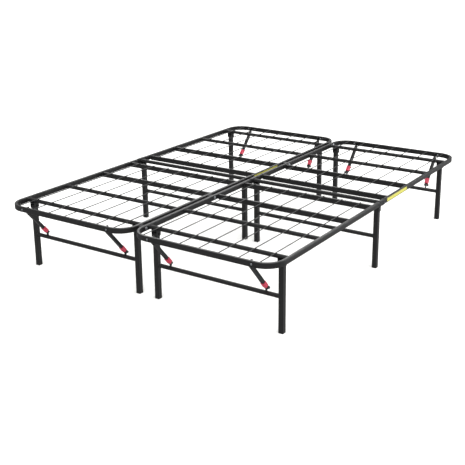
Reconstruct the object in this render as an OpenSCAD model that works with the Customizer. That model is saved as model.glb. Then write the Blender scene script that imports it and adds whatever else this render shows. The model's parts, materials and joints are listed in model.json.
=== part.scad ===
// Folding metal platform bed frame: two halves side by side, each folding at mid length.
// Millimetres. X is across the bed, Y runs from the foot end to the head end, Z is up.
// The origin is on the floor under the middle of the frame.

/* [Overall] */
// Width over both halves
bed_w = 1524; // [1200:2:1940]
// Length over the end rails
bed_l = 2032; // [1800:2:2440]
// Height of the rail tops above the floor
bed_h = 356; // [300:1:460]
// Gap between the inner rails of the two halves
half_gap = 20; // [14:1:40]

/* [Rails] */
// Width of the rail tube
rail_w = 14; // [12:1:20]
// Height of the rail tube
rail_h = 26; // [22:1:32]
// Radius of the rail tube's edges
rail_edge_r = 3; // [1:0.5:4]
// Wall of the rail tube
rail_wall = 1.5; // [1:0.25:1.75]
// Outer radius of the corner bends
bend_r = 95; // [60:5:130]

/* [Fold] */
// Distance between the two pivots of a fold link
fold_span = 83; // [78:1:110]
// Gap between a fold link and the rounded rail end
fold_gap = 0.5; // [0.3:0.1:1.5]
// Diameter of the fold bolts
fold_bolt_d = 6; // [5:0.5:8]
// Radial running clearance on every pivot
pivot_gap = 0.06; // [0.02:0.01:0.1]
// Side clearance of a link tongue inside the rail
tongue_gap = 0.7; // [0.5:0.1:1.5]
// Thickness of the tab that joins a link to its leg
link_tab_t = 3; // [2:0.5:5]
// How far the link tab reaches below the rail centre
link_tab_drop = 47; // [38:1:70]

/* [Slats and wires] */
// Diameter of the round slats
slat_d = 20; // [14:1:25]
// Wall of the round slats
slat_wall = 1.5; // [1:0.25:3]
// Distance of the inner round slat from the middle of the bed
slat_y = 606; // [560:1:640]
// Distance of the outer flat bar from the middle of the bed
far_bar_y = 330; // [250:1:380]
// Distance of the inner flat bar from the middle of the bed
near_bar_y = 90; // [85:1:140]
// Diameter of the mattress wires
wire_d = 4.5; // [3:0.5:6]
// Spacing of the mattress wires
wire_pitch = 100; // [60:5:110]
// Mattress wires in each half
wire_count = 7; // [5:1:7]

/* [Legs] */
// Side of the square leg tube
leg_side = 24; // [20:1:28]
// Radius of the leg tube's edges
leg_edge_r = 2; // [1:0.5:4]
// Wall of the leg tube
leg_wall = 1.5; // [1:0.25:3]
// Distance from the end rail's outer face to the row of legs
leg_setback = 141; // [125:1:170]
// Distance from the half's sides to the end legs' outer faces
leg_inset = 34; // [24:1:50]
// Height of the crossbar's centre
crossbar_z = 164; // [120:1:200]
// Diameter of the crossbars
crossbar_d = 20; // [14:1:22]
// Wall of the crossbars
crossbar_wall = 1.5; // [1:0.25:3]
// Thickness of the foot caps under the legs
cap_t = 3; // [2:0.5:8]
// Length of the cap's plug inside the leg
cap_plug = 16; // [8:1:30]

/* [Leg brackets] */
// Thickness of the bracket plate
bracket_t = 2.5; // [2:0.5:4]
// Clearance between a leg and its bracket
bracket_gap = 0.5; // [0.3:0.1:1.5]
// Depth of a bracket along the bed
bracket_l = 30; // [25:1:36]
// Diameter of the leg pivot bolts
leg_bolt_d = 6; // [5:0.5:8]

/* [Braces] */
// Distance of the braces from the middle of their half
brace_x = 253; // [200:1:280]
// Width of the brace channel
brace_w = 16; // [14:1:20]
// Depth of the brace channel
brace_d = 14; // [13:1:16]
// Thickness of the brace channel
brace_t = 1.6; // [1.2:0.1:2.5]
// Distance of the brace pivot from the end rail's inner face
brace_pivot_y = 11; // [10:0.5:16]
// Distance of the brace pivot below the rail's bottom
brace_pivot_drop = 6; // [5:0.5:10]
// Diameter of the brace pins
brace_pin_d = 5; // [4:0.5:6]
// Diameter of the stud that the brace hooks on
stud_d = 8; // [6:0.5:8]
// Height of the stud above the crossbar's centre
stud_rise = 27; // [25:1:32]
// Clearance of the stud in the brace's fork
fork_gap = 0.6; // [0.4:0.1:0.9]
// Length of the lock slider
lock_l = 32; // [24:1:40]
// Wall of the lock slider
lock_t = 2.4; // [2:0.2:4]
// Sliding clearance of the lock slider
lock_gap = 0.35; // [0.3:0.05:0.6]
// Diameter of the stud's knob
knob_d = 14; // [10:1:18]

/* [Joining the halves] */
// Distance of the outer joining bolts from the middle of the bed
join_outer_y = 905; // [900:1:915]
// Distance of the inner joining bolts from the middle of the bed
join_inner_y = 367; // [360:1:450]
// Diameter of the joining bolts
join_bolt_d = 8; // [6:0.5:10]
// Length of a spacer along the bed
spacer_l = 30; // [20:1:40]
// Height of a spacer
spacer_h = 20; // [16:1:22]

/* [Fasteners and label] */
// Height of the low domed bolt heads
head_t = 2.5; // [1.5:0.5:4]
// Ratio of a head's diameter to its bolt's
head_ratio = 1.9; // [1.6:0.1:2.2]
// Length of the blank label
label_l = 240; // [150:5:260]
// Height of the blank label
label_h = 18; // [12:1:19]
// Thickness of the blank label
label_t = 0.4; // [0.3:0.1:1]

/* [Hidden] */
$fn = 48;
eps = 0.01;

steel = "#2b2b2d";
zinc = "#b9bcc0";
red_plastic = "#d2445c";
black_plastic = "#1b1b1c";
label_yellow = "#e2df68";

foot = -1;   // end of the bed at -Y
head = 1;    // end of the bed at +Y
left = -1;   // half at -X
right = 1;   // half at +X
outer = 1;   // towards the outside of the bed
inner = -1;  // towards the middle of the bed

half_w = (bed_w - half_gap) / 2;
half_x = (half_gap + half_w) / 2;          // centre of a half
rail_x = (half_w - rail_w) / 2;            // rail centre, from the half's centre
rail_z = bed_h - rail_h / 2;
inside_w = half_w - 2 * rail_w;            // clear width between a half's rails
end_y = bed_l / 2 - rail_w / 2;            // end rail's centre
end_face_y = bed_l / 2 - rail_w;           // end rail's inner face
pivot_y = fold_span / 2;
round_r = rail_h / 2;                      // rounded rail end
link_end = pivot_y - round_r - fold_gap;   // half length of the link's body

slat_top = bed_h - wire_d;
slat_z = slat_top - slat_d / 2;
bar_z = slat_top - rail_h / 2;
wire_z = bed_h - wire_d / 2;

leg_y = bed_l / 2 - leg_setback;
leg_x = half_w / 2 - leg_inset - leg_side / 2;
bracket_web = slat_z - slat_d / 2;         // underside of the round slat
leg_pivot_z = bracket_web - bracket_t - 1 - leg_side / 2;
bracket_bottom = leg_pivot_z - leg_side / 2;
bracket_w = leg_side + 2 * (bracket_gap + bracket_t);
centre_leg_x = inside_w / 2 - link_tab_t - leg_side / 2;
centre_leg_top = slat_z - slat_d / 2 - 0.5;

brace_pivot = [end_face_y - brace_pivot_y, bed_h - rail_h - brace_pivot_drop];
stud_z = crossbar_z + stud_rise;
brace_len = norm([brace_pivot[0] - leg_y, brace_pivot[1] - stud_z]);
brace_angle = atan2(brace_pivot[1] - stud_z, brace_pivot[0] - leg_y);
brace_end_r = brace_d / 2;
fork_w = stud_d + 2 * fork_gap;
fork_tip = 8;                              // fork beyond the stud's centre
web_start = 9;                             // channel web clear of the pin
web_stop = 17;                             // channel web clear of the stud
tab_t = 5;                                 // brace bracket's tab
lock_w = brace_w + 2 * (lock_gap + lock_t);
lock_d = brace_d + 2 * (lock_gap + lock_t);
lock_low = brace_len - stud_d / 2 - 5;     // lower edge of the slider
screw_x = 15;                              // bracket screw, from the brace's centre
screw_d = 6;
screw_head_d = 9;
rivet_d = 6;
stud_half = brace_w / 2 + 1.5;
knob_l = 7;

// ---- shared shapes ----

// A rectangle with round corners, centred
module round_rect(w, h, r) {
    square([w - 2 * r, h], center = true);
    square([w, h - 2 * r], center = true);
    for (i = [-1, 1], j = [-1, 1])
        translate([i * (w / 2 - r), j * (h / 2 - r)]) circle(r);
}

// The ring section of a tube with round corners
module tube_section(w, h, r, wall) {
    difference() {
        round_rect(w, h, r);
        round_rect(w - 2 * wall, h - 2 * wall, max(r - wall, 0.5));
    }
}

module rail_section() { tube_section(rail_w, rail_h, rail_edge_r, rail_wall); }

// A cylinder along X, centred
module rod_x(d, l) { rotate([0, 90, 0]) cylinder(d = d, h = l, center = true); }

// A round tube along X, centred
module pipe_x(d, wall, l) {
    difference() {
        rod_x(d, l);
        rod_x(d - 2 * wall, l + 2);
    }
}

// A low domed head, its flat side at the origin, standing up along Z
module domed_head(d, t) {
    r = d / 2;
    ball = (r * r + t * t) / (2 * t);
    intersection() {
        translate([0, 0, t - ball]) sphere(ball, $fn = 64);
        cylinder(d = d, h = t);
    }
}

// A bolt along X with a domed head at each end, gripping a thickness of grip
module domed_bolt_x(d, grip) {
    rod_x(d, grip);
    for (s = [-1, 1])
        translate([s * grip / 2, 0, 0]) rotate([0, s * 90, 0]) domed_head(d * head_ratio, head_t);
}

// Places children in one half and end; the shape is drawn for the foot end, with
// +X pointing to the half's outer side
module in_half(side, end) {
    translate([side * half_x, 0, 0])
        mirror([side < 0 ? 1 : 0, 0, 0]) mirror([0, end > 0 ? 1 : 0, 0]) children();
}

// ---- rails ----

// One half's U-shaped rail, bent from one tube, with rounded slotted ends at the fold
module rail(side, end) {
    straight_l = bed_l / 2 - bend_r - pivot_y + round_r;
    bend_x = half_w / 2 - bend_r;
    bend_y = -(bed_l / 2 - bend_r);
    joins = [join_outer_y, join_inner_y];
    color(steel) in_half(side, end) difference() {
        union() {
            for (s = [-1, 1]) {
                translate([s * rail_x, bend_y, rail_z])
                    rotate([-90, 0, 0]) linear_extrude(straight_l) rail_section();
                translate([s * bend_x, bend_y, rail_z])
                    rotate([0, 0, s > 0 ? -90 : 180])
                        rotate_extrude(angle = 90, $fn = 96)
                            translate([bend_r - rail_w / 2, 0]) rail_section();
            }
            translate([0, -end_y, rail_z])
                rotate([0, 90, 0]) linear_extrude(2 * bend_x, center = true)
                    rotate(90) rail_section();
        }
        for (s = [-1, 1]) translate([s * rail_x, -pivot_y, rail_z]) {
            rail_end_cut();
            rod_x(fold_bolt_d + 2 * pivot_gap, rail_w + 2);
        }
        for (y = joins)
            translate([-rail_x, -y, rail_z]) rod_x(join_bolt_d + 0.4, rail_w + 2);
        for (s = [-1, 1])
            translate([s * (brace_x + screw_x), -end_y, rail_z])
                rotate([90, 0, 0]) cylinder(d = screw_d + 0.2, h = rail_w + 2, center = true);
    }
}

// Rounds a rail end about its pivot and opens its underside for the link's tongue
module rail_end_cut() {
    reach = round_r + 2;
    difference() {
        translate([-rail_w, 0, -reach]) cube([2 * rail_w, reach, 2 * reach]);
        rod_x(2 * round_r, 3 * rail_w);
    }
    slot_w = rail_w - 2 * rail_wall;
    slot_back = tongue_r() + 1.5;
    translate([-slot_w / 2, -slot_back, -reach]) cube([slot_w, slot_back + reach, reach]);
}

function tongue_r() = rail_h / 2 - rail_wall - 1.5;

// ---- slats and wires ----

module round_slat(y) { translate([0, -y, slat_z]) pipe_x(slat_d, slat_wall, inside_w); }

module flat_bar(y) {
    translate([0, -y, bar_z])
        rotate([0, 90, 0]) linear_extrude(inside_w, center = true) rotate(90) rail_section();
}

module slats(end) {
    color(steel) for (side = [left, right]) in_half(side, end) {
        round_slat(leg_y);
        round_slat(slat_y);
        flat_bar(far_bar_y);
        flat_bar(near_bar_y);
    }
}

// Where a wire at x from the half's centre meets the end rail or its bend
function wire_end(x) =
    let (into_bend = abs(x) + wire_d / 2 - (half_w / 2 - bend_r), r = bend_r - rail_w)
    into_bend <= 0 ? end_face_y : bed_l / 2 - bend_r + sqrt(r * r - into_bend * into_bend);

module wires(end) {
    wire_start = near_bar_y - rail_w / 2 + rail_edge_r;
    color(steel) for (side = [left, right]) in_half(side, end)
        for (i = [0 : wire_count - 1]) {
            x = (i - (wire_count - 1) / 2) * wire_pitch;
            translate([x, -wire_start, wire_z])
                rotate([90, 0, 0]) cylinder(d = wire_d, h = wire_end(x) - wire_start, $fn = 24);
        }
}

// ---- leg brackets and their bolts ----

// A folded plate under the round slat: two cheeks, a top and a stop behind the leg
module leg_bracket() {
    top = slat_z;
    height = top - bracket_bottom;
    inside = leg_side + 2 * bracket_gap;
    difference() {
        translate([-bracket_w / 2, -bracket_l / 2, bracket_bottom])
            cube([bracket_w, bracket_l, height]);
        // space for the leg, open below and on both sides along the bed
        translate([-inside / 2, -leg_side / 2 - bracket_gap, bracket_bottom - 1])
            cube([inside, bracket_l, bracket_web - bracket_t - bracket_bottom + 1]);
        translate([-inside / 2, -bracket_l, leg_pivot_z - 2])
            cube([inside, bracket_l, bracket_web - bracket_t - leg_pivot_z + 2]);
        // hollow above the top plate, and the seat for the slat
        translate([-inside / 2, -bracket_l, bracket_web])
            cube([inside, 2 * bracket_l, slat_d]);
        translate([0, 0, slat_z]) rod_x(slat_d, bracket_w + 2);
        translate([0, 0, leg_pivot_z]) rod_x(leg_bolt_d + 0.1, bracket_w + 2);
        // trimmed lower corners on the side the leg folds towards
        translate([-bracket_w, bracket_l / 2, bracket_bottom - 4])
            rotate([45, 0, 0]) cube([2 * bracket_w, 8, 8]);
    }
}

module leg_brackets(end) {
    color(steel) for (side = [left, right], s = [-1, 1])
        in_half(side, end) translate([s * leg_x, -leg_y, 0]) leg_bracket();
}

module leg_bolts(end) {
    color(zinc) for (side = [left, right], s = [-1, 1])
        in_half(side, end) translate([s * leg_x, -leg_y, leg_pivot_z])
            domed_bolt_x(leg_bolt_d, bracket_w);
}

// ---- leg frames ----

// One square leg from its cap to a height, its top open
module leg_tube(top) {
    translate([0, 0, cap_t]) linear_extrude(top - cap_t)
        tube_section(leg_side, leg_side, leg_edge_r, leg_wall);
}

// The crossbar's hollow runs on into both legs
module crossbar_shell(x) { translate([0, 0, crossbar_z]) rod_x(crossbar_d, 2 * x - leg_side); }

module crossbar_bore(x) {
    translate([0, 0, crossbar_z])
        rod_x(crossbar_d - 2 * crossbar_wall, 2 * x - leg_side + 2 * leg_wall + 0.4);
}

// The stud that a brace hooks on, on its tab above the crossbar
module brace_stud() {
    translate([-1.5, -6, crossbar_z + crossbar_d / 2 - 2])
        cube([3, 12, stud_rise - crossbar_d / 2 + 2]);
    translate([0, 0, stud_z]) {
        rod_x(stud_d, 2 * stud_half);
        rod_x(12, 3);
    }
}

module end_leg_frame(side, end) {
    color(steel) in_half(side, end) translate([0, -leg_y, 0]) difference() {
        union() {
            for (s = [-1, 1]) translate([s * leg_x, 0, 0]) leg_tube(leg_pivot_z + leg_side / 2);
            crossbar_shell(leg_x);
            for (s = [-1, 1]) translate([s * brace_x, 0, 0]) brace_stud();
        }
        crossbar_bore(leg_x);
        for (s = [-1, 1]) translate([s * leg_x, 0, leg_pivot_z]) {
            leg_top_cut();
            rod_x(leg_bolt_d + 2 * pivot_gap, leg_side + 2);
        }
    }
}

// Rounds a leg's top about its pivot
module leg_top_cut() {
    difference() {
        translate([-leg_side, -leg_side, 0]) cube([2 * leg_side, 2 * leg_side, leg_side]);
        rod_x(leg_side, 3 * leg_side);
    }
}

module foot_cap() {
    plug = leg_side - 2 * leg_wall - 0.4;
    linear_extrude(cap_t) round_rect(leg_side, leg_side, leg_edge_r);
    translate([0, 0, cap_t - eps]) linear_extrude(cap_plug) difference() {
        square(plug, center = true);
        square(plug - 5, center = true);
    }
}

module end_caps(side, end) {
    color(black_plastic) in_half(side, end)
        for (s = [-1, 1]) translate([s * leg_x, -leg_y, 0]) foot_cap();
}

// Black knob on the outer end of each stud
module knobs(side, end) {
    color(black_plastic) in_half(side, end)
        for (s = [-1, 1]) translate([s * (brace_x + stud_half), -leg_y, stud_z])
            rotate([0, s * 90, 0]) {
                cylinder(d = knob_d, h = knob_l - 2);
                translate([0, 0, knob_l - 2]) domed_head(knob_d, 2);
            }
}

// ---- centre: links, slats and the middle leg frames ----

// One link: a body in line with the rails, two tongues, and a tab down to the leg.
// +X points to the half's outer side
module fold_link() {
    tongue_w = rail_w - 2 * rail_wall - 2 * tongue_gap;
    lobe_r = round_r + 1;
    difference() {
        union() {
            translate([-rail_w / 2, -link_end, -round_r]) cube([rail_w, 2 * link_end, 2 * round_r]);
            rod_x(2 * lobe_r, rail_w);
            for (s = [-1, 1]) {
                translate([-tongue_w / 2, s > 0 ? link_end - 5 : -pivot_y, -tongue_r()])
                    cube([tongue_w, pivot_y - link_end + 5, 2 * tongue_r()]);
                translate([0, s * pivot_y, 0]) rod_x(2 * tongue_r(), tongue_w);
            }
            translate([-rail_w / 2 - link_tab_t, -leg_side / 2, -link_tab_drop])
                cube([link_tab_t + eps, leg_side, link_tab_drop + slat_z + slat_d / 2 - rail_z]);
        }
        for (s = [-1, 1])
            translate([0, s * pivot_y, 0]) rod_x(fold_bolt_d + 2 * pivot_gap, rail_w + 2);
        translate([rail_w / 2, 0, 0]) rod_x(2 * lobe_r - 8, 2);
        for (z = rivet_heights())
            translate([-rail_w / 2, 0, z - rail_z]) rod_x(rivet_d + 0.1, 3 * link_tab_t);
        // the lobe ends level with the rail's top
        translate([-rail_w, -lobe_r, round_r]) cube([2 * rail_w, 2 * lobe_r, lobe_r]);
    }
}

function rivet_heights() = [rail_z - link_tab_drop + 8, rail_z - round_r - 10];

module fold_links(side) {
    color(steel) in_half(side, foot) {
        translate([rail_x, 0, rail_z]) fold_link();
        mirror([1, 0, 0]) translate([rail_x, 0, rail_z]) fold_link();
    }
}

module centre_slats() {
    color(steel) for (side = [left, right]) in_half(side, foot)
        translate([0, 0, slat_z]) pipe_x(slat_d, slat_wall, inside_w - 2 * link_tab_t);
}

module centre_leg_frame(side) {
    color(steel) in_half(side, foot) difference() {
        union() {
            for (s = [-1, 1]) translate([s * centre_leg_x, 0, 0]) leg_tube(centre_leg_top);
            crossbar_shell(centre_leg_x);
        }
        crossbar_bore(centre_leg_x);
        for (s = [-1, 1], z = rivet_heights())
            translate([s * (centre_leg_x + leg_side / 2), 0, z]) rod_x(rivet_d + 0.1, 4 * leg_wall);
    }
}

module centre_foot_caps() {
    color(black_plastic) for (side = [left, right], s = [-1, 1])
        in_half(side, foot) translate([s * centre_leg_x, 0, 0]) foot_cap();
}

// Rivets through a link's tab and the leg's wall
module centre_rivets() {
    grip = link_tab_t + leg_wall + 4 * eps;
    color(zinc) for (side = [left, right], s = [-1, 1], z = rivet_heights())
        in_half(side, foot) translate([s * (inside_w / 2 + 2 * eps - grip / 2), 0, z])
            domed_bolt_x(rivet_d, grip);
}

// ---- fold bolts, brace brackets, pins and screws ----

module fold_bolts(end) {
    color(zinc) for (side = [left, right], s = [-1, 1])
        in_half(side, end) translate([s * rail_x, -pivot_y, rail_z])
            domed_bolt_x(fold_bolt_d, rail_w);
}

// A flange on the end rail's inner face, and the tab that carries the brace's pin
module brace_bracket() {
    flange_t = 2.5;
    flange_h = rail_h - 2 * rail_edge_r;
    difference() {
        union() {
            translate([-9, -end_face_y, rail_z - flange_h / 2]) cube([33, flange_t, flange_h]);
            translate([-tab_t / 2, -end_face_y, brace_pivot[1]])
                cube([tab_t, brace_pivot_y + brace_end_r, rail_z + flange_h / 2 - brace_pivot[1]]);
            translate([0, -brace_pivot[0], brace_pivot[1]]) rod_x(2 * brace_end_r, tab_t);
        }
        translate([0, -brace_pivot[0], brace_pivot[1]]) rod_x(brace_pin_d + 0.1, tab_t + 2);
        translate([screw_x, -end_face_y, rail_z])
            rotate([90, 0, 0]) cylinder(d = screw_d + 0.2, h = 3 * flange_t, center = true);
    }
}

module at_braces(end) {
    for (side = [left, right], s = [-1, 1])
        in_half(side, end) mirror([s < 0 ? 1 : 0, 0, 0]) translate([brace_x, 0, 0]) children();
}

module brace_brackets(end) { color(steel) at_braces(end) brace_bracket(); }

module brace_pins(end) {
    color(zinc) at_braces(end) translate([0, -brace_pivot[0], brace_pivot[1]])
        domed_bolt_x(brace_pin_d, brace_w + 0.4);
}

// Screws through the end rail that hold the brace brackets
module bracket_screws(end) {
    flange_t = 2.5;
    color(zinc) at_braces(end) translate([screw_x, -bed_l / 2, rail_z]) {
        rotate([-90, 0, 0]) cylinder(d = screw_d, h = rail_w + flange_t + 5);
        rotate([90, 0, 0]) domed_head(screw_head_d, head_t);
        translate([0, rail_w + flange_t, 0])
            rotate([-90, 0, 0]) cylinder(d = 10.5, h = 4, $fn = 6);
    }
}

// ---- braces and locks ----

// A channel from its pin at the origin along +Y, open upwards, with a fork at its far end
module brace_channel() {
    inner_w = brace_w - 2 * brace_t;
    tip = brace_len + fork_tip;
    difference() {
        union() {
            translate([-brace_w / 2, 0, -brace_d / 2]) cube([brace_w, tip, brace_d]);
            rod_x(2 * brace_end_r, brace_w);
        }
        translate([-inner_w / 2, -brace_end_r - 1, brace_t - brace_d / 2])
            cube([inner_w, tip + brace_end_r + 2, brace_d]);
        // web cut away at the pin and at the stud
        translate([-inner_w / 2, -brace_end_r - 1, -brace_d])
            cube([inner_w, brace_end_r + 1 + web_start, 2 * brace_d]);
        translate([-inner_w / 2, brace_len - web_stop, -brace_d])
            cube([inner_w, web_stop + fork_tip + 1, 2 * brace_d]);
        rod_x(brace_pin_d + 2 * pivot_gap, brace_w + 2);
        // fork for the stud, with a flared mouth
        translate([0, brace_len, 0]) rod_x(fork_w, brace_w + 2);
        translate([-brace_w, brace_len, -fork_w / 2]) cube([2 * brace_w, fork_tip + 1, fork_w]);
        translate([0, tip + fork_w / 2, 0]) rotate([45, 0, 0])
            cube([2 * brace_w, fork_w + 1, fork_w + 1], center = true);
    }
}

// Places a brace's own shape at one of its eight places
module at_brace(side, end, s) {
    in_half(side, end) mirror([s < 0 ? 1 : 0, 0, 0])
        translate([brace_x, -brace_pivot[0], brace_pivot[1]]) rotate([-brace_angle, 0, 0]) children();
}

module brace(side, end, s) { color(steel) at_brace(side, end, s) brace_channel(); }

// The lock slider: a sleeve round the brace with a thumb tab on its inner side
module lock_sleeve() {
    rotate([-90, 0, 0]) linear_extrude(lock_l) difference() {
        round_rect(lock_w, lock_d, 2);
        square([brace_w + 2 * lock_gap, brace_d + 2 * lock_gap], center = true);
    }
    // thumb tab with a raised edge
    tab_l = 12;
    translate([-lock_w / 2 - 7, 0, -4]) cube([7.5, tab_l, 4]);
    translate([-lock_w / 2 - 7, 0, -4]) cube([2.5, tab_l, 8]);
    // grip ribs on the outer side
    for (i = [0 : 3])
        translate([-lock_w / 2 + 3, 10 + i * 5, -lock_d / 2 - 0.8]) cube([lock_w - 6, 2, 1]);
}

module lock(side, end, s) {
    color(red_plastic) at_brace(side, end, s) translate([0, lock_low - lock_l, 0]) lock_sleeve();
}

// ---- joining the halves ----

module at_joins(end) {
    for (y = [join_outer_y, join_inner_y]) translate([0, end * y, rail_z]) children();
}

module spacers(end) {
    color(black_plastic) at_joins(end) difference() {
        rotate([90, 0, 90]) linear_extrude(half_gap, center = true)
            round_rect(spacer_l, spacer_h, 3);
        rod_x(join_bolt_d + 0.4, half_gap + 2);
    }
}

// A bolt through both inner rails and the spacer, with a domed head and a knob nut
module joining_bolts(end) {
    grip = half_gap + 2 * rail_w;
    color(zinc) at_joins(end) {
        rod_x(join_bolt_d, grip);
        translate([grip / 2, 0, 0]) rotate([0, 90, 0]) domed_head(join_bolt_d * head_ratio, 3.5);
        translate([-grip / 2, 0, 0]) rotate([0, -90, 0]) {
            cylinder(d = 13, h = 6, $fn = 6);
            cylinder(d = join_bolt_d, h = 9);
        }
    }
}

// ---- labels ----

// A blank label on the right-hand rail of each half, beside the fold
module labels() {
    start = pivot_y + 11;
    color(label_yellow) for (side = [left, right])
        translate([side * half_x + half_w / 2, start, rail_z - label_h / 2])
            cube([label_t, label_l, label_h]);
}

rail(left, foot);  // foot_rail_left
rail(right, foot);  // foot_rail_right
slats(foot);  // foot_slats
wires(foot);  // foot_wires
leg_brackets(foot);  // foot_leg_brackets
brace_brackets(foot);  // foot_brace_brackets
leg_bolts(foot);  // foot_leg_bolts
brace_pins(foot);  // foot_brace_pins
bracket_screws(foot);  // foot_bracket_screws
fold_bolts(foot);  // foot_fold_bolts
spacers(foot);  // foot_spacers
joining_bolts(foot);  // foot_joining_bolts
fold_links(left);  // fold_links_left
fold_links(right);  // fold_links_right
centre_slats();
centre_leg_frame(left);  // centre_leg_frame_left
centre_leg_frame(right);  // centre_leg_frame_right
centre_foot_caps();
centre_rivets();
rail(left, head);  // head_rail_left
rail(right, head);  // head_rail_right
slats(head);  // head_slats
wires(head);  // head_wires
leg_brackets(head);  // head_leg_brackets
brace_brackets(head);  // head_brace_brackets
leg_bolts(head);  // head_leg_bolts
brace_pins(head);  // head_brace_pins
bracket_screws(head);  // head_bracket_screws
fold_bolts(head);  // head_fold_bolts
spacers(head);  // head_spacers
joining_bolts(head);  // head_joining_bolts
labels();  // head_labels
end_leg_frame(left, foot);  // foot_leg_frame_left
end_leg_frame(right, foot);  // foot_leg_frame_right
end_leg_frame(left, head);  // head_leg_frame_left
end_leg_frame(right, head);  // head_leg_frame_right
end_caps(left, foot);  // foot_caps_left
end_caps(right, foot);  // foot_caps_right
end_caps(left, head);  // head_caps_left
end_caps(right, head);  // head_caps_right
knobs(left, foot);  // foot_knobs_left
knobs(right, foot);  // foot_knobs_right
knobs(left, head);  // head_knobs_left
knobs(right, head);  // head_knobs_right
brace(left, foot, outer);  // foot_brace_left_outer
brace(left, foot, inner);  // foot_brace_left_inner
brace(right, foot, inner);  // foot_brace_right_inner
brace(right, foot, outer);  // foot_brace_right_outer
brace(left, head, outer);  // head_brace_left_outer
brace(left, head, inner);  // head_brace_left_inner
brace(right, head, inner);  // head_brace_right_inner
brace(right, head, outer);  // head_brace_right_outer
lock(left, foot, outer);  // foot_lock_left_outer
lock(left, foot, inner);  // foot_lock_left_inner
lock(right, foot, inner);  // foot_lock_right_inner
lock(right, foot, outer);  // foot_lock_right_outer
lock(left, head, outer);  // head_lock_left_outer
lock(left, head, inner);  // head_lock_left_inner
lock(right, head, inner);  // head_lock_right_inner
lock(right, head, outer);  // head_lock_right_outer
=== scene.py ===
import json
import math

import bmesh
import bpy
import numpy as np
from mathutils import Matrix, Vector


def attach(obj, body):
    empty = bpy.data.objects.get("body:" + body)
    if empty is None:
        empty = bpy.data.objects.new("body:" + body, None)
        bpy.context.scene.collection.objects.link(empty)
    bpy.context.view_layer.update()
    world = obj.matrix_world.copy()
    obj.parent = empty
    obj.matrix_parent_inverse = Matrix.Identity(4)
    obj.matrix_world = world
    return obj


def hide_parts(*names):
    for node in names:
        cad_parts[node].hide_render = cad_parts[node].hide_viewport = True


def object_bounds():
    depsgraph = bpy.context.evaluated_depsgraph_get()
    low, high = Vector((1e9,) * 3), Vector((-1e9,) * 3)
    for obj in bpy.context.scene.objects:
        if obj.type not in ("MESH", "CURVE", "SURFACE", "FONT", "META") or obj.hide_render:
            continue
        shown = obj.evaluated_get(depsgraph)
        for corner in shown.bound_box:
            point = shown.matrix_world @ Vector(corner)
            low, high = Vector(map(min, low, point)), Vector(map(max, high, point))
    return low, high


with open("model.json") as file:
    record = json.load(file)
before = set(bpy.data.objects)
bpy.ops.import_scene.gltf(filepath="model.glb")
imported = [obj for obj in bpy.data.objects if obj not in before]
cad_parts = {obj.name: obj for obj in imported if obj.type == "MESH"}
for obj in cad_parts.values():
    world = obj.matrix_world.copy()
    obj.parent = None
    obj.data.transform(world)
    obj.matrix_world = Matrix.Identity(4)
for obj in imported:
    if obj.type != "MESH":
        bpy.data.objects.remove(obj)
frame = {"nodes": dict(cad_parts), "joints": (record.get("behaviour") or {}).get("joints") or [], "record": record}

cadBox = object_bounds()
record = frame["record"]
bodies = record["behaviour"]["bodies"]
bodyOf = {node: body for body, nodes in bodies.items() for node in nodes}
slotOf = {part["node"]: part["material_slot"] for part in record["subparts"]}
joints = {joint["name"]: joint for joint in frame["joints"]}
mm = 0.001
xAxis, yAxis, zAxis = np.eye(3)
halves = {"left": -1, "right": 1}
ends = {"foot": -1, "head": 1}

# Camera: at standing height off the foot end's right-hand corner

cameraView = {
    "place": (2.4127, -3.7506, 1.6487),  # metres
    "azimuth": 34.215,                # degrees, 0 looks along +Y
    "elevation": 16.74,               # degrees above the horizon
    "roll": -0.663,
    "lens": 67.535,                   # millimetres on a 36 mm sensor
    "shift": (0.0068, -0.1),
}


def makeCamera(view):
    azimuth, elevation = math.radians(view["azimuth"]), math.radians(view["elevation"])
    back = Vector((
        math.sin(azimuth) * math.cos(elevation),
        -math.cos(azimuth) * math.cos(elevation),
        math.sin(elevation),
    ))
    camera = bpy.data.objects.new("camera", bpy.data.cameras.new("camera"))
    bpy.context.scene.collection.objects.link(camera)
    camera.location = view["place"]
    turn = (-back).to_track_quat("-Z", "Y").to_matrix().to_4x4()
    camera.rotation_mode = "QUATERNION"
    camera.rotation_quaternion = (
        turn @ turn.Rotation(math.radians(view["roll"]), 4, "Z")
    ).to_quaternion()
    camera.data.sensor_width = 36
    camera.data.lens = view["lens"]
    camera.data.shift_x, camera.data.shift_y = view["shift"]
    camera.data.clip_end = 200
    bpy.context.scene.camera = camera


makeCamera(cameraView)
print("camera set")

# Materials

finishes = {
    "coatDark": "#111112",
    "coatLight": "#161617",
    "oxide": "#39393b",
    "oxideShade": "#302f2f",
    "zinc": "#c3c6c9",
    "zincShade": "#a3a7ac",
    "red": "#c23850",
    "redShade": "#aa2c43",
    "nylon": "#19191a",
    "nylonShade": "#222223",
    "film": "#c0bc55",
    "filmShade": "#b8b44c",
    "ink": "#4a4829",
    "floor": "#f4f4f2",
}


def linear(hexColour):
    # sRGB hex to linear light, with full opacity
    part = np.array([int(hexColour[i:i + 2], 16) for i in (1, 3, 5)]) / 255
    low, high = part / 12.92, ((part + 0.055) / 1.055) ** 2.4
    return (*np.where(part <= 0.04045, low, high).tolist(), 1.0)


def addNode(tree, kind, settings=None, links=None):
    # a setting is the node's own if it has one of that name, or else an input's value
    node = tree.nodes.new("ShaderNode" + kind)
    for name, value in (settings or {}).items():
        if hasattr(node, name):
            setattr(node, name, value)
        else:
            node.inputs[name].default_value = value
    for name, source in (links or {}).items():
        tree.links.new(source, node.inputs[name])
    return node


def newMaterial(name, shader):
    material = bpy.data.materials.new(name)
    material.use_nodes = True
    tree = material.node_tree
    surface = tree.nodes["Principled BSDF"]
    for socket, value in shader.items():
        surface.inputs[socket].default_value = value
    return material, tree, surface


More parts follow.
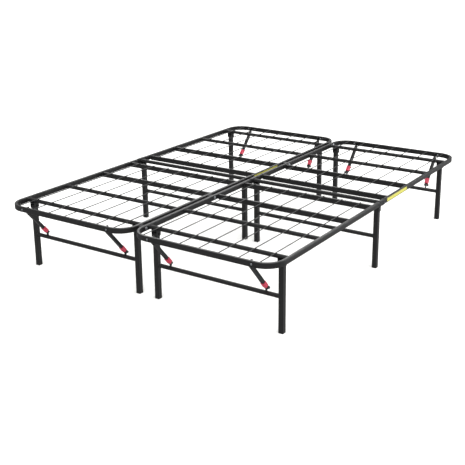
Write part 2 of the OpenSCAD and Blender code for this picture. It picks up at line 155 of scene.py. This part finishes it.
def grainyMaterial(name, shader, colours, grainMm, grainDepthMm, cloudMm, roughness):
    # Fine grain bends the light, and wide clouds vary the colour and the roughness.
    material, tree, surface = newMaterial(name, shader)
    place = addNode(tree, "TexCoord").outputs["Object"]
    grain = addNode(tree, "TexNoise", {"Scale": 1 / (grainMm * mm), "Detail": 2.0},
                    {"Vector": place})
    bump = addNode(tree, "Bump", {"Strength": 1.0, "Distance": grainDepthMm * mm},
                   {"Height": grain.outputs["Fac"]})
    cloud = addNode(tree, "TexNoise", {"Scale": 1 / (cloudMm * mm), "Detail": 3.0},
                    {"Vector": place})
    colour = addNode(tree, "Mix", {"data_type": "RGBA"}, {"Factor": cloud.outputs["Fac"]})
    for socket, shade in zip((s for s in colour.inputs if s.type == "RGBA"), colours):
        socket.default_value = linear(finishes[shade])
    rough = addNode(tree, "MapRange", {
        "From Min": 0.3, "From Max": 0.7, "To Min": roughness[0], "To Max": roughness[1],
    }, {"Value": cloud.outputs["Fac"]})
    result = next(s for s in colour.outputs if s.type == "RGBA")
    tree.links.new(result, surface.inputs["Base Color"])
    tree.links.new(rough.outputs["Result"], surface.inputs["Roughness"])
    tree.links.new(bump.outputs["Normal"], surface.inputs["Normal"])
    return material


# Black powder coat on steel, sprayed as dry polyester powder and melted in an oven: a thick
# satin film with a faint orange-peel wave. The real wave is about 2.5 mm across and is too
# fine to show, so it is drawn 4 mm across.
powderCoat = grainyMaterial("blackPowderCoat", {"IOR": 1.5}, ("coatDark", "coatLight"),
                            4.0, 0.05, 45, (0.34, 0.44))
# Zinc-plated steel, electroplated and passivated: bright but cloudy, in small soft patches.
zincPlate = grainyMaterial("zincPlatedSteel", {"Metallic": 1.0}, ("zincShade", "zinc"),
                           2.5, 0.03, 6, (0.26, 0.4))
# Polypropylene, injection moulded from red pellets: satin, with a spark-eroded mould's fine
# grain of about 0.3 mm, drawn at 1 mm so that it shows.
redPlastic = grainyMaterial("redMouldedPolypropylene",
                            {"IOR": 1.49, "Subsurface Weight": 0.08, "Subsurface Scale": 0.002},
                            ("redShade", "red"), 1.0, 0.03, 12, (0.36, 0.46))
# Nylon, injection moulded in black: matt, a little lighter where the mould's grain is rubbed.
blackNylon = grainyMaterial("blackMouldedNylon", {"IOR": 1.53}, ("nylon", "nylonShade"),
                            1.0, 0.03, 15, (0.5, 0.62))
# Yellow vinyl label film with a clear printed face: smooth and slightly glossy, and it
# follows the coat's wave underneath.
labelFilm = grainyMaterial("yellowVinylFilm", {"IOR": 1.52}, ("filmShade", "film"),
                           4.0, 0.02, 60, (0.3, 0.38))
# Printing ink on the film, rolled on as a thin dull line.
labelInk = grainyMaterial("darkLabelInk", {"IOR": 1.48}, ("ink", "ink"), 2.0, 0.005, 20,
                          (0.45, 0.55))
# Black-oxide steel, from a hot salt bath that turns the surface to magnetite and is then oiled:
# dark with a soft metal sheen, faintly mottled.
blackOxide = grainyMaterial("blackOxideSteel", {"Metallic": 1.0}, ("oxideShade", "oxide"),
                            2.0, 0.02, 5, (0.3, 0.42))
materialOf = {
    "black_steel": powderCoat,
    "zinc_steel": zincPlate,
    "red_plastic": redPlastic,
    "black_plastic": blackNylon,
    "yellow_label": labelFilm,
}
print("materials made")

# Studio: a pale floor under one wide overhead light, a softbox behind and one at the side

studio = {
    "floorSize": 160,            # metres
    "sunPower": 4.3,
    "sunWidth": 70,              # degrees across, so its shadows are soft
    "sunFrom": (0.35, -0.25, 1),
    "softboxes": {               # watts, size and place in metres
        "back": (90, (3.5, 2.0), (-3.4, 4.6, 3.6)),
        "side": (170, (3.4, 1.4), (4.6, 3.8, 0.9)),
    },
    "roomLight": 0.36,           # dim light from all round
    "backdrop": "#ffffff",
}


def makeStudio(settings):
    half = settings["floorSize"] / 2
    low = cadBox[0].z
    mesh = bpy.data.meshes.new("studio_floor")
    mesh.from_pydata([(-half, -half, low), (half, -half, low), (half, half, low),
                      (-half, half, low)], [], [(0, 1, 2, 3)])
    floor = bpy.data.objects.new("studio_floor", mesh)
    bpy.context.scene.collection.objects.link(floor)
    # Matt white paper roll: even and shadow-soft
    mesh.materials.append(grainyMaterial("mattPaperFloor", {"IOR": 1.4}, ("floor", "floor"),
                                         3.0, 0.01, 400, (0.9, 0.95)))
    # The coat then mirrors the dim room instead of the white paper
    floor.visible_glossy = False
    sun = bpy.data.objects.new("overhead_light", bpy.data.lights.new("overhead_light", "SUN"))
    sun.data.energy = settings["sunPower"]
    sun.data.angle = math.radians(settings["sunWidth"])
    lights = [(sun, Vector(settings["sunFrom"]))]
    for name, (power, size, place) in settings["softboxes"].items():
        box = bpy.data.objects.new(name + "_softbox", bpy.data.lights.new(name, "AREA"))
        box.data.shape = "RECTANGLE"
        box.data.size, box.data.size_y = size
        box.data.energy = power
        box.location = place
        lights.append((box, Vector(place)))
    for light, aim in lights:
        bpy.context.scene.collection.objects.link(light)
        light.rotation_mode = "QUATERNION"
        light.rotation_quaternion = aim.to_track_quat("Z", "Y")
    world = bpy.data.worlds.new("studio")
    bpy.context.scene.world = world
    world.use_nodes = True
    tree = world.node_tree
    seen = addNode(tree, "Background", {"Color": linear(settings["backdrop"])})
    room = tree.nodes["Background"]
    room.inputs["Color"].default_value = linear(settings["backdrop"])
    room.inputs["Strength"].default_value = settings["roomLight"]
    ray = addNode(tree, "LightPath")
    mixed = addNode(tree, "MixShader", {}, {"Fac": ray.outputs["Is Camera Ray"]})
    tree.links.new(room.outputs[0], mixed.inputs[1])
    tree.links.new(seen.outputs[0], mixed.inputs[2])
    tree.links.new(mixed.outputs[0], tree.nodes["World Output"].inputs["Surface"])
    bpy.context.scene.view_settings.view_transform = "Standard"


makeStudio(studio)
print("studio lit")

# Reading the CAD nodes


def cadMesh(nodeName):
    # a node's corners, each kept once, and its triangles
    mesh = frame["nodes"][nodeName].data
    corners = np.empty(len(mesh.vertices) * 3, np.float32)
    mesh.vertices.foreach_get("co", corners)
    mesh.calc_loop_triangles()
    triangles = np.empty(len(mesh.loop_triangles) * 3, np.int32)
    mesh.loop_triangles.foreach_get("vertices", triangles)
    corners, where = np.unique(corners.reshape(-1, 3).round(7), axis=0, return_inverse=True)
    triangles = where.reshape(-1)[triangles].reshape(-1, 3)
    a, b, c = triangles.T
    return corners.astype(float), triangles[(a != b) & (b != c) & (c != a)]


def solidBoxes(nodeName):
    # The lowest and highest corner of each separate solid: each corner takes the lowest
    # number that it can reach along the triangles.
    corners, triangles = cadMesh(nodeName)
    label, before = np.arange(len(corners)), None
    while before is None or (before != label).any():
        before = label.copy()
        lowest = label[triangles].min(1)
        for side in range(3):
            np.minimum.at(label, triangles[:, side], lowest)
        label = label[label]
    found = [corners[label == k] for k in np.unique(label)]
    return np.array([(solid.min(0), solid.max(0)) for solid in found])


# Making surfaces


def gridQuads(rows, columns, ring):
    # corner numbers of the squares between neighbouring rows and columns; columns wrap
    row = np.arange(rows if ring else rows - 1)[:, None]
    column = np.arange(columns)[None, :]
    nextRow, nextColumn = (row + 1) % rows, (column + 1) % columns
    quads = np.stack(np.broadcast_arrays(
        row * columns + column, row * columns + nextColumn,
        nextRow * columns + nextColumn, nextRow * columns + column), -1)
    return quads.reshape(-1, 4)


def shell(points, ring=False):
    # A closed surface from points[row, column]. Its columns wrap; its rows wrap too if it
    # is a ring, or else each end closes on its middle. Faces are turned outwards.
    if not ring:
        middles = points[[0, -1]].mean(1, keepdims=True).repeat(points.shape[1], 1)
        points = np.concatenate([middles[:1], points, middles[1:]])
    quads = gridQuads(*points.shape[:2], ring)
    corners = points.reshape(-1, 3)
    a, b, c, d = (corners[quads[:, k]] - corners.mean(0) for k in range(4))
    volume = ((a * np.cross(b, c)).sum() + (a * np.cross(c, d)).sum())
    return corners, quads if volume > 0 else quads[:, ::-1]


def placed(part, origins, axes):
    # copies of a shell at each origin, its own x, y and z along the three axes
    corners, quads = part
    origins = np.reshape(origins, (-1, 3))
    axes = np.asarray(axes, float)
    if np.linalg.det(axes) < 0:
        quads = quads[:, ::-1]
    moved = corners @ axes + origins[:, None]
    starts = np.arange(len(origins))[:, None, None] * len(corners)
    return moved.reshape(-1, 3), (quads + starts).reshape(-1, 4)


def roundedRing(halfWidth, halfDepth, radius, perCorner=5):
    # A rounded rectangle as a ring of points: a quarter circle round each corner's centre.
    turn = np.linspace(0, math.pi / 2, perCorner)
    angle = (turn + np.arange(4)[:, None] * math.pi / 2).ravel()
    signX = np.repeat([1, -1, -1, 1], perCorner)
    signY = np.repeat([1, 1, -1, -1], perCorner)
    return np.stack([signX * (halfWidth - radius) + radius * np.cos(angle),
                     signY * (halfDepth - radius) + radius * np.sin(angle)], -1)


def ringStack(rings, heights, axis):
    # rings of two coordinates, each with its height put in as coordinate number axis
    return np.stack([np.insert(ring, axis, height, axis=1)
                     for ring, height in zip(rings, heights)])


def turnedShape(reach, height, angle):
    # points round z at each reach and angle, one row for each height
    return np.stack([reach * np.cos(angle), reach * np.sin(angle),
                     np.broadcast_to(height, reach.shape)], -1)


def addPiece(name, shells, body, material, standsFor=(), smoothBelow=38):
    # one object from its shells, with doubled corners joined and sharp edges kept
    corners = np.concatenate([part[0] for part in shells])
    starts = np.cumsum([0] + [len(part[0]) for part in shells[:-1]])
    quads = np.concatenate([part[1] + start for part, start in zip(shells, starts)])
    mesh = bpy.data.meshes.new(name)
    mesh.from_pydata(corners.tolist(), [], quads.tolist())
    work = bmesh.new()
    work.from_mesh(mesh)
    bmesh.ops.remove_doubles(work, verts=work.verts, dist=2e-6)
    bmesh.ops.dissolve_degenerate(work, edges=work.edges, dist=1e-7)
    work.to_mesh(mesh)
    work.free()
    mesh.shade_smooth()
    mesh.set_sharp_from_angle(angle=math.radians(smoothBelow))
    register(name, mesh, body, material, standsFor)


def register(name, mesh, body, material, standsFor):
    piece = bpy.data.objects.new(name, mesh)
    bpy.context.scene.collection.objects.link(piece)
    mesh.materials.append(material)
    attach(piece, body)
    if standsFor:
        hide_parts(*standsFor)
    return piece


def finishedCopy(nodeName, edgeMm):
    # A merged copy of a node with its sheet and tube edges rounded, to stand for the node.
    corners, triangles = cadMesh(nodeName)
    name = nodeName + "_coated"
    mesh = bpy.data.meshes.new(name)
    mesh.from_pydata(corners.tolist(), [], triangles.tolist())
    work = bmesh.new()
    work.from_mesh(mesh)
    bmesh.ops.dissolve_limit(work, angle_limit=math.radians(1), verts=work.verts,
                             edges=work.edges)
    work.to_mesh(mesh)
    work.free()
    mesh.shade_smooth()
    mesh.set_sharp_from_angle(angle=math.radians(30))
    slotName = slotOf[nodeName]
    piece = register(name, mesh, bodyOf[nodeName], materialOf[slotName], (nodeName,))
    if edgeMm:
        bevel = piece.modifiers.new("rounded_edges", "BEVEL")
        bevel.width = edgeMm * mm
        bevel.segments = 2
        bevel.limit_method = "ANGLE"
        bevel.angle_limit = math.radians(40)
        bevel.harden_normals = True


# Steel parts that keep their CAD shape: the tubes as they are, the sheet parts with their
# cut edges rounded

edgeRounding = {           # millimetres, by the kind of part
    "brackets": 0.4,
    "brace": 0.3,
    "links": 0.6,
    "rail": 0,
    "frame": 0,
}
for nodeName, node in frame["nodes"].items():
    node.data.materials.clear()
    node.data.materials.append(materialOf[slotOf[nodeName]])
for nodeName in frame["nodes"]:
    edge = [size for word, size in edgeRounding.items() if word in nodeName]
    if edge and slotOf[nodeName] == "black_steel" and "pins" not in nodeName:
        finishedCopy(nodeName, edge[0])
print("steel parts coated")

# Bolts, pins, rivets and screws

domed = {"socket": 0.42, "depth": 0.62, "shank": 1 / 1.9, "headHeight": 2.5 * mm}
fastening = {              # socket and shank are shares of the head's radius
    "bolt": domed,
    "rivet": {**domed, "socket": 0, "depth": 0},
    "screw": {**domed, "socket": 0.45, "depth": 0.6, "shank": 6 / 9, "headRadius": 4.5 * mm,
              "nutHeight": 4.0 * mm, "nutAcross": 10.5 * mm, "tail": 1.0 * mm},
    "joining": {**domed, "headHeight": 3.5 * mm, "headRadius": 7.6 * mm,
                "nutHeight": 6.0 * mm, "nutAcross": 13.0 * mm, "tail": 3.0 * mm},
}
fastenerColumns = 36


def hexTurned(rows):
    # A turned shape about z from rows of (height, radius, hexagon share): at share 1 a row is
    # a hexagon with that radius to its corners, and at 0 a circle.
    height, radius, share = np.array(rows, float).T[:, :, None]
    angle = np.linspace(0, 2 * math.pi, fastenerColumns, endpoint=False)
    hexagon = math.cos(math.pi / 6) / np.cos(angle % (math.pi / 3) - math.pi / 6)
    return turnedShape(radius * (1 - share + share * hexagon), height, angle)


def domeRows(top, radius, kind):
    # A domed head from its socket's floor out to its rim; the dome falls with the square of
    # the distance from the middle, by four fifths of the head's height.
    tall, socket = kind["headHeight"], kind["socket"]
    out = socket + (1 - socket) * np.array([0.06, 0.3, 0.5, 0.68, 0.84, 0.95, 1.0])
    heights = top - 0.8 * tall * out ** 2
    mouth = heights[0]
    heights[-1] -= 0.2 * tall
    rows = [(height, radius * at, 0) for height, at in zip(heights, out)]
    if not socket:
        return rows
    return [(mouth - tall * kind["depth"], radius * socket * 0.9, 1),
            (mouth - 0.1 * tall, radius * socket * 0.96, 1),
            (mouth, radius * socket * 1.02, 1)] + rows


def nutRows(top, shank, kind):
    # a hex nut with chamfered corners near the bolt's far end, and the end itself
    corner, chamfer = kind["nutAcross"] / 2, 0.12 * kind["nutHeight"]
    outer = kind["tail"] - top
    inner = outer + kind["nutHeight"]
    return [(inner, shank, 0), (inner, corner * 0.93, 0.2), (inner - chamfer, corner, 1),
            (outer + chamfer, corner, 1), (outer, corner * 0.9, 0.2), (outer, shank, 0),
            (-top + 0.15 * shank, shank, 0), (-top, shank * 0.82, 0)]


def fastener(length, radius, kind):
    # one bolt along z, centred: a domed head at +z, its shank, then a second head or a nut
    shank, top = radius * kind["shank"], length / 2
    seat = top - kind["headHeight"]
    rows = domeRows(top, radius, kind) + [(seat, radius * 0.97, 0), (seat, shank, 0)]
    if "nutHeight" in kind:
        rows += nutRows(top, shank, kind)
    else:
        rows += [(-height, *rest) for height, *rest in rows[::-1]]
    return shell(hexTurned(rows))


def makeFasteners(nodeName, kindName, axis, headTowards=1):
    # Each solid's box gives its place, its length along the axis and its head's width. Heads
    # face one way, or away from the middle of the bed where headTowards is 0.
    kind = fastening[kindName]
    shells = []
    for low, high in solidBoxes(nodeName):
        middle, span = (low + high) / 2, high - low
        radius = kind.get("headRadius", span[(axis + 1) % 3] / 2)
        z = np.eye(3)[axis] * (headTowards or np.sign(middle[axis]))
        x = np.eye(3)[(axis + 1) % 3]
        shells.append(placed(fastener(span[axis], radius, kind), middle, [x, np.cross(z, x), z]))
    slotName = slotOf[nodeName]
    material = blackOxide if slotName == "black_steel" else materialOf[slotName]
    addPiece(nodeName + "_turned", shells, bodyOf[nodeName], material, (nodeName,), 32)


for end in ends:
    makeFasteners(end + "_leg_bolts", "bolt", 0)
    makeFasteners(end + "_fold_bolts", "bolt", 0)
    makeFasteners(end + "_brace_pins", "rivet", 0)
    makeFasteners(end + "_bracket_screws", "screw", 1, 0)
    makeFasteners(end + "_joining_bolts", "joining", 0)
makeFasteners("centre_rivets", "rivet", 0)
print("fasteners turned")

# Weld beads: a rippled fillet along each joint between two surfaces

welding = {
    "size": 1.9 * mm,       # leg of the fillet
    "bracketSize": 1.5 * mm,
    "bracketArc": (1.08 * math.pi, 1.92 * math.pi),
    "ripple": 2.6 * mm,     # from one ripple to the next
    "rippleDepth": 0.14,    # share of the size
    "rootDepth": 0.35,      # share of the size that lies inside the steel
    "bulge": 1.25,          # 1 is a quarter circle, more is flatter
    "steps": {"ring": 72, "arc": 40, "line": 30},
    "barEnds": (6 * mm, 3 * mm),               # bare below and above an upright bead
    "nugget": (3.9 * mm, 3.4 * mm, 1.7 * mm),  # half sizes of a wire's spot weld
    "butt": (1.0 * mm, 1.2 * mm),  # a wire end's weld: in from the end, up from the underside
}


def bead(path, first, second, size, ring):
    # A fillet carried along a path. Its section starts inside the corner, runs out along the
    # first surface, bulges over to the second and returns. Its size swells and sinks in a
    # sine along the path, and tapers at open ends.
    steps = np.diff(path, axis=0, append=path[:1] if ring else path[-1:])
    along = np.cumsum(np.linalg.norm(steps, axis=1))
    total = along[-1]
    turns = max(4, round(total / welding["ripple"]))
    swell = 1 + welding["rippleDepth"] * np.sin(2 * math.pi * turns * along / total)
    if not ring:
        swell = swell * np.clip(np.minimum(along, total - along) / (1.5 * size), 0.3, 1)
    turn = np.linspace(0, math.pi / 2, 5)
    arc = np.stack([np.cos(turn), np.sin(turn)], -1) ** welding["bulge"]
    root = -welding["rootDepth"]
    section = np.array([(root, root), (1.05, root), *arc, (root, 1.05)])
    scale = (size * swell)[:, None, None]
    return shell(path[:, None] + scale * (section[:, :1] * first[:, None]
                                          + section[:, 1:] * second[:, None]), ring)


def ringBead(centre, radius, towards, arc=None, size=welding["size"]):
    # a bead round a tube along x where it meets a flat face; towards is +1 or -1 along x
    first, last = arc or (0, 2 * math.pi)
    steps = welding["steps"]["arc" if arc else "ring"]
    turn = np.linspace(first, last, steps, endpoint=bool(arc))
    outwards = np.stack([0 * turn, np.cos(turn), np.sin(turn)], -1)
    alongTube = np.broadcast_to(xAxis * towards, outwards.shape)
    return bead(centre + radius * outwards, outwards, alongTube, size, not arc)


def lineBead(start, stop, first, second):
    # a straight bead between two points
    path = start + np.linspace(0, 1, welding["steps"]["line"])[:, None] * (stop - start)
    return bead(path, np.broadcast_to(first, path.shape), np.broadcast_to(second, path.shape),
                welding["size"], False)


def nuggetShape():
    # A spot weld: a flattened dome whose rim wanders in and out in seven lobes.
    turn = np.linspace(0, 2 * math.pi, 16, endpoint=False)
    lift = np.array([-0.7, -0.3, 0.15, 0.6, 0.9])[:, None]
    reach = np.sqrt(1 - lift ** 2) * (1 + 0.07 * np.sin(7 * turn))
    return shell(turnedShape(reach, lift, turn) * welding["nugget"])


def isRound(box):
    low, high = box
    return abs((high - low)[1] - (high - low)[2]) < 0.5 * mm


def slatBeads(nodeName):
    # round slats get a ring at each end, flat bars an upright bead on both sides of each end
    below, above = welding["barEnds"]
    shells = []
    for low, high in solidBoxes(nodeName):
        middle, halfDepth = (low + high) / 2, (high - low)[1] / 2
        for faceX, towards in ((low[0], 1), (high[0], -1)):
            if isRound((low, high)):
                shells.append(ringBead([faceX, *middle[1:]], halfDepth, towards))
                continue
            for side in (-1, 1):
                y = middle[1] + side * halfDepth
                shells.append(lineBead(np.array([faceX, y, low[2] + below]),
                                       np.array([faceX, y, high[2] - above]),
                                       side * yAxis, towards * xAxis))
    return shells


def bracketBeads(end):
    # half rings on the outer faces of each leg bracket's cheeks, under its slat
    low, high = next(box for box in solidBoxes(end + "_slats") if isRound(box))
    radius, height = (high - low)[2] / 2, (high + low)[2] / 2
    return [ringBead([faceX, (low + high)[1] / 2, height], radius, towards,
                     welding["bracketArc"], welding["bracketSize"])
            for low, high in solidBoxes(end + "_leg_brackets")
            for faceX, towards in ((low[0], -1), (high[0], 1))]


def wireNuggets(end):
    # a spot weld where each wire crosses a bar, and one at its butt against the end rail
    inset, lift = welding["butt"]
    places = []
    for low, high in solidBoxes(end + "_wires"):
        x = (low + high)[0] / 2
        places += [(x, (barLow + barHigh)[1] / 2, low[2])
                   for barLow, barHigh in solidBoxes(end + "_slats")
                   if barLow[0] < low[0] < barHigh[0]]
        places.append((x, (high if ends[end] > 0 else low)[1] - ends[end] * inset,
                       low[2] + lift))
    return placed(nuggetShape(), places, np.eye(3))


def addBeads(name, shells, body):
    addPiece(name, shells, body, powderCoat, (), 60)


for end in ends:
    addBeads(end + "_weld_beads",
             slatBeads(end + "_slats") + bracketBeads(end) + [wireNuggets(end)],
             end + "_section")
addBeads("centre_weld_beads", slatBeads("centre_slats"), "centre")

crossbar = {"height": 164 * mm, "radius": 10 * mm}


def crossbarBeads(capsNode):
    # a ring where each crossbar meets its left leg and its right leg; the caps show where the
    # legs stand, and from left to right every second one starts a crossbar
    caps = solidBoxes(capsNode)
    caps = caps[np.argsort(caps[:, 0, 0])]
    return [ringBead([box[1 - k % 2][0], box[:, 1].mean(), crossbar["height"]],
                     crossbar["radius"], 1 - 2 * (k % 2)) for k, box in enumerate(caps)]


for end in ends:
    for side in halves:
        addBeads(f"{end}_crossbar_beads_{side}", crossbarBeads(f"{end}_caps_{side}"),
                 f"{end}_legs_{side}")
addBeads("centre_crossbar_beads", crossbarBeads("centre_foot_caps"), "centre")
print("weld beads laid")


def addNylon(nodeName, ending, shells):
    addPiece(nodeName + ending, shells, bodyOf[nodeName], blackNylon,
             (nodeName,))


def makeEach(word, make):
    for nodeName in [node for node in slotOf if word in node]:
        make(nodeName)
    print(word, "moulded")


# Foot caps: moulded glides with a domed sole, pushed into the legs

footCap = {
    "edge": 2.0 * mm,        # rounding of the leg's edges
    "flange": 3.0 * mm,
    "flangeEdge": 0.3 * mm,
    "plug": 10.2 * mm,       # half width of the plug
    "plugHeight": 16 * mm,
    "plugEdge": 1.0 * mm,
    "sole": 0.8 * mm,        # how far the sole's edge is turned up
}


def makeFootCaps(nodeName):
    shells = []
    for low, high in solidBoxes(nodeName):
        half = (high - low)[0] / 2
        sole, flange, plug = footCap["sole"], footCap["flange"], footCap["plug"]
        profile = [(half - 3.2 * sole, 0), (half - 1.2 * sole, 0.02 * sole),
                   (half - 0.3 * sole, 0.35 * sole), (half, sole),
                   (half, flange - footCap["flangeEdge"]), (half - footCap["flangeEdge"], flange),
                   (plug, flange), (plug, footCap["plugHeight"]),
                   (plug - footCap["plugEdge"], footCap["plugHeight"] + footCap["plugEdge"])]
        rings = [roundedRing(h, h, footCap["edge"] * h / half) for h, z in profile]
        points = ringStack(rings, [z for h, z in profile], 2)
        shells.append(placed(shell(points), [*(low + high)[:2] / 2, low[2]], np.eye(3)))
    addNylon(nodeName, "_moulded", shells)


makeEach("caps", makeFootCaps)

# Knobs on the brace studs: fluted grips with a dished face

knob = {"flutes": 10, "fluteDepth": 0.07, "columns": 60}


def makeKnobs(nodeName):
    # A turned profile of (share of length, share of radius, flute share), with the radius
    # waved round by a cosine where the flutes are. Knobs stand away from their half's middle.
    profile = np.array([(0, 0.62, 0), (0, 0.9, 0), (0.06, 0.98, 0.2), (0.14, 0.98, 1),
                        (0.4, 0.95, 1), (0.66, 0.96, 1), (0.8, 0.9, 0.8), (0.92, 0.74, 0.2),
                        (0.98, 0.56, 0), (0.96, 0.42, 0), (0.9, 0.3, 0)])
    place, share, fluted = profile.T[:, :, None]
    angle = np.linspace(0, 2 * math.pi, knob["columns"], endpoint=False)
    wave = 0.5 + 0.5 * np.cos(knob["flutes"] * angle)
    halfMiddle = joints[bodyOf[nodeName] + "_fold"]["pos_m"][0]
    shells = []
    for low, high in solidBoxes(nodeName):
        length, radius = (high - low)[0], (high - low)[1] / 2
        reach = radius * share * (1 - knob["fluteDepth"] * fluted * wave)
        sign = 1 if (low + high)[0] / 2 > halfMiddle else -1
        start = [low[0] if sign > 0 else high[0], *(low + high)[1:] / 2]
        shells.append(placed(shell(turnedShape(reach, length * place, angle)), start,
                             [yAxis, zAxis, sign * xAxis]))
    addNylon(nodeName, "_fluted", shells)


makeEach("knobs", makeKnobs)

# Slide locks: a red collar round each brace with lips, grip ribs and a thumb paddle

lock = {
    "wall": 2.4 * mm,
    "corner": 3.2 * mm,
    "boreCorner": 0.8 * mm,
    "lip": 0.55 * mm,
    "lipPlace": 0.05,        # this and the next two are shares of the collar's length
    "lipWidth": 0.035,
    "ribSpan": (0.3, 0.8),
    "ribs": 4,
    "ribHeight": 0.6 * mm,
    "ribbedBelow": 2.5 * mm,  # only this far round from the underside
    "endRounding": 0.5 * mm,
    "paddleLength": 12 * mm,
    "paddleThick": 3.0 * mm,
    "paddleGrid": (22, 28),
    "paddleDrop": 2 * mm,
    "paddleCurl": 5 * mm,
    "paddleWaves": 0.25 * mm,
}


def braceFrame(braceName):
    # the brace's pivot, and its axes: away from its half's middle, down the brace, and up
    swing = joints[braceName + "_swing"]
    slide = joints[braceName.replace("brace", "lock") + "_slide"]
    down = -np.array(slide["axis"])
    down /= np.linalg.norm(down)
    side, place = braceName.split("_")[2:]
    outwards = halves[side] * (1 if place == "outer" else -1)
    up = [0, -down[2] * np.sign(down[1]), abs(down[1])]
    return np.array(swing["pos_m"]), np.array([outwards * xAxis, down, up])


def collar(halfWidth, halfDepth, start, length):
    # A rounded rectangle carried down the outside and back up the bore. Outside it swells in
    # a lip at each end, each a bell curve, and underneath in ribs, a cosine between them.
    share = np.array([0, 0.02, 0.06, 0.1, *np.linspace(0.14, 0.86, 41), 0.9, 0.94, 0.98, 1])
    fromEnd = np.minimum(share, 1 - share)
    first, last = lock["ribSpan"]
    lips = np.exp(-((fromEnd - lock["lipPlace"]) / lock["lipWidth"]) ** 2)
    inRibs = np.clip((share - first) / 0.04, 0, 1) * np.clip((last - share) / 0.04, 0, 1)
    wave = np.cos(2 * math.pi * lock["ribs"] * (share - first) / (last - first))
    ribs = lock["ribHeight"] * inRibs * (0.5 - 0.5 * wave)
    rounding = lock["endRounding"] * np.exp(-(fromEnd / 0.012) ** 2)
    grow = lock["lip"] * (lips - 1) - rounding
    outer = ringStack([roundedRing(halfWidth + g, halfDepth + g, lock["corner"]) for g in grow],
                      start + length * share, 1)
    below = outer[:, :, 2] < lock["ribbedBelow"] - halfDepth
    outer[:, :, 2] -= np.where(below, ribs[:, None], 0)
    bore = roundedRing(halfWidth - lock["wall"], halfDepth - lock["wall"], lock["boreCorner"])
    inner = ringStack([bore] * 3, start + length * np.array([1, 0.5, 0]), 1)
    return shell(np.concatenate([outer, inner]), True)


def paddle(root, reach, start):
    # An oval plate carried out from the collar's side, curling up to its tip with a power of
    # the distance, with three grip waves across it. Its section is a squared circle.
    rows, columns = lock["paddleGrid"]
    out = np.linspace(0, 1, rows)
    turn = np.linspace(0, 2 * math.pi, columns, endpoint=False)
    across, over = (np.sign(v) * np.abs(v) ** 0.5 for v in (np.cos(turn), np.sin(turn)))
    thick = (lock["paddleThick"] / 2 * (1 - 0.25 * out)
             * np.sqrt(np.clip(1.02 - out ** 8, 0.05, 1)))
    wide = (lock["paddleLength"] / 2 * (1 - 0.12 * out ** 2)
            * np.sqrt(np.clip(1.02 - out ** 10, 0.1, 1)))
    z = (lock["paddleCurl"] * out ** 2.2 - lock["paddleDrop"]
         + lock["paddleWaves"] * np.sin(out * 6 * math.pi) * (out > 0.3))
    return shell(np.stack([
        np.broadcast_to((root - (reach + root) * out)[:, None], (rows, columns)),
        start + lock["paddleLength"] / 2 + wide[:, None] * across,
        z[:, None] + thick[:, None] * over], -1))


def makeLock(nodeName):
    pivot, axes = braceFrame(nodeName.replace("lock", "brace"))
    local = (cadMesh(nodeName)[0] - pivot) @ axes.T
    low, high = local.min(0), local.max(0)
    shells = [collar(high[0], high[2], low[1], high[1] - low[1]),
              paddle(0.6 * lock["wall"] - high[0], -low[0], low[1])]
    addPiece(nodeName + "_moulded", [placed(part, pivot, axes) for part in shells],
             bodyOf[nodeName], redPlastic, (nodeName,))


makeEach("lock", makeLock)

# Spacers between the halves: blocks with a waist and a flange at each end

spacer = {"corner": 3 * mm, "waist": 1.2 * mm}


def makeSpacers(nodeName):
    share = np.array([-1, -0.98, -0.72, -0.66, 0, 0.66, 0.72, 0.98, 1])
    drop = np.array([0.4, 0, 0, 1, 1, 1, 0, 0, 0.4]) * spacer["waist"]
    shells = []
    for low, high in solidBoxes(nodeName):
        half = (high - low) / 2
        rings = [roundedRing(half[1] - d, half[2] - d, spacer["corner"]) for d in drop]
        shells.append(placed(shell(ringStack(rings, half[0] * share, 0)), (low + high) / 2,
                             np.eye(3)))
    addNylon(nodeName, "_moulded", shells)


makeEach("spacers", makeSpacers)

# Blank labels: film with rounded corners, and a plain printed line inside its edge

label = {
    "corner": 2.5 * mm,
    "filmEdge": 0.1 * mm,
    "line": 0.7 * mm,
    "lineInset": 1.6 * mm,
    "lineCorner": 0.4 * mm,  # the smallest
    "ink": 0.03 * mm,
}


def makeLabels(nodeName):
    films, lines = [], []
    edge, inset = label["filmEdge"], label["lineInset"]
    for low, high in solidBoxes(nodeName):
        half = (high - low) / 2
        full = 2 * half[0]
        thick = full - label["ink"]

        def layers(insets, heights):
            rings = [roundedRing(half[1] - at, half[2] - at,
                                 max(label["corner"] - at, label["lineCorner"]))
                     for at in insets]
            return ringStack(rings, heights, 0) + [low[0], *(low + high)[1:] / 2]

        films.append(shell(layers((edge, 0, 0, edge, label["corner"]),
                                  (0, 0, 0.6 * thick, thick, thick))))
        lines.append(shell(layers((inset, inset, inset + label["line"], inset + label["line"]),
                                  (0.5 * thick, full, full, 0.5 * thick)), True))
    addPiece(nodeName + "_film", films, bodyOf[nodeName], labelFilm, (nodeName,))
    addPiece(nodeName + "_line", lines, bodyOf[nodeName], labelInk)


makeLabels("head_labels")
print("labels stuck on")
